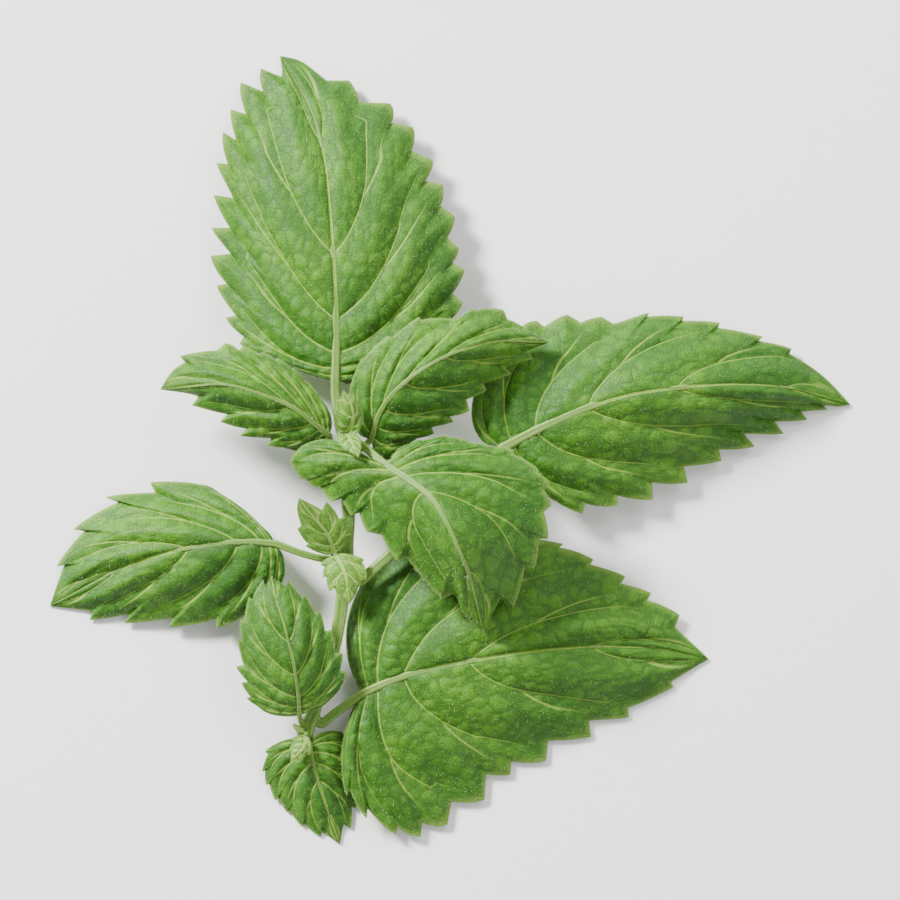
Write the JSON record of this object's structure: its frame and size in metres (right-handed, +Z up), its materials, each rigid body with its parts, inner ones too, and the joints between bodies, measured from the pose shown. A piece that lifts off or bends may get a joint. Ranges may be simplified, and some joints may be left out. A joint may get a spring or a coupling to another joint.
{
  "type": "lemon balm sprig",
  "caption": "Cut sprig of lemon balm lying flat: a square stem with opposite toothed, net-veined leaves at its nodes.",
  "frame": {"origin": "centre of the sprig's outline, on the surface it lies on", "axes": "+Z up out of the surface, +Y towards the sprig's tip, +X to the right as seen from above"},
  "size_m": [0.1606, 0.1582, 0.028],
  "materials": {
    "stem": "fresh green stem, finely ridged and hairy",
    "leaf": "fresh leaf, matt, wrinkled between its veins",
    "young_leaf": "young leaf, paler and softer"
  },
  "bodies": {
    "root": {"stem": "stem", "leaf_top": "leaf", "leaf_front": "leaf", "leaf_upper_left": "leaf", "leaf_upper_right": "leaf", "leaf_left": "leaf", "leaf_right": "leaf", "leaf_lower_right": "leaf", "leaf_lower_up": "leaf", "leaf_lower_down": "leaf", "bud_top": "young_leaf", "shoot_middle": "young_leaf", "bud_bottom": "young_leaf"}
  },
  "joints": []
}
